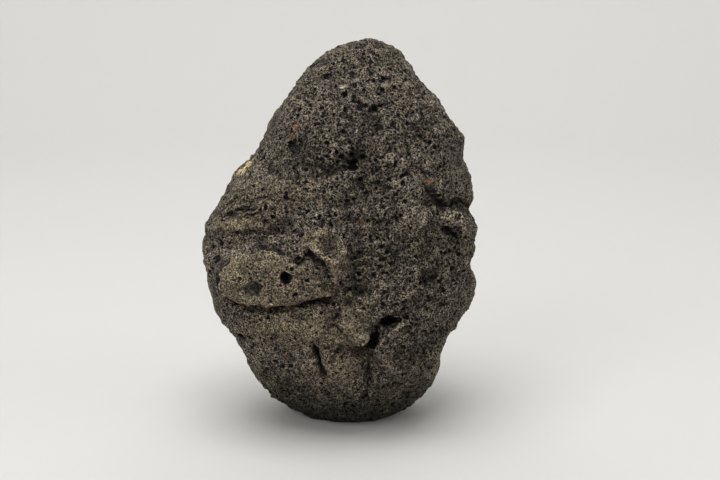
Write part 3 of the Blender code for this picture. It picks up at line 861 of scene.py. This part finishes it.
def attribute(name):
    return add("ShaderNodeAttribute", attribute_type="GEOMETRY", attribute_name=name).outputs["Fac"]


place = add("ShaderNodeTexCoord").outputs["Object"]


def cloud(size_mm, detail=2.0, rough=0.5):
    t = add("ShaderNodeTexNoise")
    put(t, "Vector", place)
    t.inputs["Scale"].default_value = 1000.0 / size_mm
    t.inputs["Detail"].default_value = detail
    t.inputs["Roughness"].default_value = rough
    return t.outputs["Fac"]


def ramp(value, lo, hi, to_lo=0.0, to_hi=1.0):
    m = add("ShaderNodeMapRange", interpolation_type="SMOOTHSTEP")
    put(m, "Value", value)
    for key, v in (("From Min", lo), ("From Max", hi), ("To Min", to_lo), ("To Max", to_hi)):
        m.inputs[key].default_value = v
    return m.outputs["Result"]


def maths(kind, a, b=0.0):
    m = add("ShaderNodeMath", operation=kind)
    put(m, 0, a)
    put(m, 1, b)
    return m.outputs[0]


def colour(fac, a, b, mode="MIX"):
    m = add("ShaderNodeMix", data_type="RGBA", blend_type=mode, clamp_factor=True)
    put(m, 0, fac)
    for socket, value in ((6, a), (7, b)):
        put(m, socket, value if hasattr(value, "is_linked") else (*value, 1.0))
    return m.outputs[2]


pore, warm_n, furrow_n = attribute("pore"), attribute("warm"), attribute("furrow")
hollow_n, edge_n = attribute("hollow"), attribute("edge")

# the foam's bubbles are pulled out of round
pull = add("ShaderNodeTexNoise")
put(pull, "Vector", place)
pull.inputs["Scale"].default_value = 1000.0 / 1.6
pull.inputs["Detail"].default_value = 1.0
bend = add("ShaderNodeVectorMath", operation="MULTIPLY_ADD")
put(bend, 0, pull.outputs["Color"])
bend.inputs[1].default_value = (0.0011, 0.0011, 0.0011)
put(bend, 2, place)
bent = bend.outputs[0]


def cells(size_mm, seed_shift):
    """Distance to the nearest of many scattered middles, 0 at a middle."""
    t = add("ShaderNodeTexVoronoi", feature="F1")
    moved = add("ShaderNodeVectorMath", operation="ADD")
    put(moved, 0, bent)
    moved.inputs[1].default_value = (seed_shift, 0.7 * seed_shift, 0.3 * seed_shift)
    put(t, "Vector", moved.outputs[0])
    t.inputs["Scale"].default_value = 1000.0 / size_mm
    return t.outputs["Distance"]


# foam too fine for the mesh: thin pale walls round small bubbles, dark with painted shade
fine, middling, broad = cloud(0.62, 2.0, 0.7), cloud(2.1, 2.0), cloud(9.0, 3.0)
foam_a = ramp(maths("ADD", cells(1.22, 0.0), maths("MULTIPLY", middling, -0.28)), 0.17, 0.34)
foam_b = ramp(cells(0.72, 0.31), 0.24, 0.62)
closed = maths("MULTIPLY", warm_n, 0.32)
wall_a = maths("ADD", foam_a, maths("MULTIPLY", closed, maths("SUBTRACT", 1.0, foam_a)))
wall_b = maths("ADD", foam_b, maths("MULTIPLY", closed, maths("SUBTRACT", 1.0, foam_b)))
wall = maths("MULTIPLY", wall_a, maths("ADD", maths("MULTIPLY", wall_b, 0.62), 0.38))
speckle = ramp(fine, 0.415, 0.615)

charcoal = colour(speckle, (0.0250, 0.0212, 0.0158), (0.315, 0.267, 0.194))
charcoal = colour(ramp(middling, 0.42, 0.70, 0.0, 0.40), charcoal, (0.195, 0.163, 0.117))
brown = colour(speckle, (0.030, 0.0240, 0.0152), (0.335, 0.272, 0.176))
brown = colour(ramp(broad, 0.45, 0.68, 0.0, 0.45), brown, (0.170, 0.130, 0.078))
crust = colour(warm_n, charcoal, brown)
crust = colour(attribute("ochre"), crust, colour(speckle, (0.085, 0.058, 0.028), (0.340, 0.235, 0.115)))
crust = colour(maths("MULTIPLY", attribute("dimple"), 0.80), crust, colour(speckle, (0.022, 0.021, 0.018), (0.085, 0.079, 0.068)))
# painted highlight on the edges between the pores, painted shade in the hollows
crust = colour(ramp(edge_n, 0.50, 0.12, 0.0, 0.40), crust, (0.270, 0.236, 0.185))
crust = colour(ramp(hollow_n, 0.55, 0.98, 0.0, 0.50), crust, (0.024, 0.021, 0.017))
# painted shade inside the small bubbles
foamy = colour(wall, (0.0065, 0.0056, 0.0045), crust)
foamy = colour(attribute("tan"), foamy, colour(speckle, (0.34, 0.24, 0.12), (0.80, 0.64, 0.40)))
# painted shade: cut bubbles and pits darken with their depth
inside = colour(ramp(pore, 0.12, 0.75), foamy, (0.0080, 0.0070, 0.0056))
# painted shadow in the cracks
inside = colour(ramp(furrow_n, 0.15, 0.90, 0.0, 0.80), inside, (0.011, 0.0095, 0.0075))
inside = colour(attribute("rust"), inside, colour(speckle, (0.13, 0.046, 0.012), (0.42, 0.19, 0.055)))
glint = ramp(cloud(0.50, 0.0), 0.77, 0.80)
inside = colour(maths("MULTIPLY", glint, 0.7), inside, (0.46, 0.43, 0.37))
final = colour(attribute("white"), inside, (0.66, 0.605, 0.485))
toned = add("ShaderNodeVectorMath", operation="SCALE")
put(toned, 0, final)
put(toned, "Scale", maths("MULTIPLY", attribute("shade"), 2.0))

shader = add("ShaderNodeBsdfPrincipled")
put(shader, "Base Color", toned.outputs[0])
rough_n = maths("MULTIPLY_ADD", middling, -0.22)
nodes[-1].inputs[2].default_value = 1.0
put(shader, "Roughness", rough_n)
shader.inputs["Specular IOR Level"].default_value = 0.30

height = maths("ADD", maths("MULTIPLY", wall, 1.0), maths("MULTIPLY", fine, 0.6))
bump = add("ShaderNodeBump")
bump.inputs["Strength"].default_value = 0.9
bump.inputs["Distance"].default_value = 0.00055
put(bump, "Height", height)
put(shader, "Normal", bump.outputs["Normal"])
end = add("ShaderNodeOutputMaterial")
links.new(shader.outputs["BSDF"], end.inputs["Surface"])
rock_mesh.materials.append(mat)

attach(rock, "root")
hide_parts("lava_rock")

# ------------------------------------------------------------------ 7: studio
turns, profile = 96, [(0.0, 0.0), (0.5, 0.0), (1.1, 0.0)]
profile += [(1.1 + 0.9 * math.sin(a), 0.9 - 0.9 * math.cos(a)) for a in np.linspace(0.08, math.pi / 2, 14)]
profile += [(2.0, 2.2)]
verts, faces = [(0.0, 0.0, 0.0)], []
for r, z in profile[1:]:
    verts += [(r * math.cos(t), r * math.sin(t), z) for t in np.linspace(0, 2 * math.pi, turns, endpoint=False)]
for k in range(turns):
    faces.append((0, 1 + k, 1 + (k + 1) % turns))
    for ring in range(len(profile) - 2):
        a, b = 1 + ring * turns, 1 + (ring + 1) * turns
        faces.append((a + k, b + k, b + (k + 1) % turns, a + (k + 1) % turns))
studio_mesh = bpy.data.meshes.new("studio_floor")
studio_mesh.from_pydata(verts, [], faces)
studio_mesh.polygons.foreach_set("use_smooth", np.ones(len(studio_mesh.polygons), bool))
studio = bpy.data.objects.new("studio_floor", studio_mesh)
bpy.context.scene.collection.objects.link(studio)
pale = bpy.data.materials.new("pale_floor")
pale.use_nodes = True
pale.node_tree.nodes["Principled BSDF"].inputs["Base Color"].default_value = (0.67, 0.663, 0.647, 1.0)
pale.node_tree.nodes["Principled BSDF"].inputs["Roughness"].default_value = 0.9
studio_mesh.materials.append(pale)


def softbox(name, where, aim, size, watts, tint=(1.0, 1.0, 1.0)):
    lamp = bpy.data.lights.new(name, "AREA")
    lamp.shape, lamp.size, lamp.size_y = "RECTANGLE", size[0], size[1]
    lamp.energy, lamp.color = watts, tint
    holder = bpy.data.objects.new(name, lamp)
    holder.location = where
    holder.rotation_euler = (Vector(aim) - Vector(where)).to_track_quat("-Z", "Y").to_euler()
    bpy.context.scene.collection.objects.link(holder)


softbox("top_light", (-0.10, -0.28, 1.35), (0, 0.0, 0.05), (1.1, 0.9), 13.2)
softbox("front_light", (-0.80, -1.10, 0.85), (0, 0, 0.09), (0.8, 0.8), 6.0)
softbox("side_light", (1.25, -0.45, 0.80), (0, 0, 0.09), (0.8, 0.8), 2.5)
softbox("back_light", (0.0, 1.25, 1.45), (0, 1.45, 0.0), (2.2, 1.0), 12.0)

world = bpy.data.worlds.new("studio_air")
world.use_nodes = True
world.node_tree.nodes["Background"].inputs["Color"].default_value = (1.0, 0.995, 0.98, 1.0)
world.node_tree.nodes["Background"].inputs["Strength"].default_value = 0.26
bpy.context.scene.world = world
bpy.context.scene.view_settings.view_transform = "Standard"

# ------------------------------------------------------------------ 8: camera
eye = bpy.data.cameras.new("camera")
eye.sensor_width, eye.sensor_fit = 36.0, "HORIZONTAL"
eye.lens = 60.25
eye.clip_start, eye.clip_end = 0.02, 30.0
camera = bpy.data.objects.new("camera", eye)
camera.location = (0.0104, -0.5734, 0.210)
camera.rotation_euler = (math.radians(90 - 12.0), 0.0, 0.0)
bpy.context.scene.collection.objects.link(camera)
bpy.context.scene.camera = camera

bpy.context.view_layer.update()
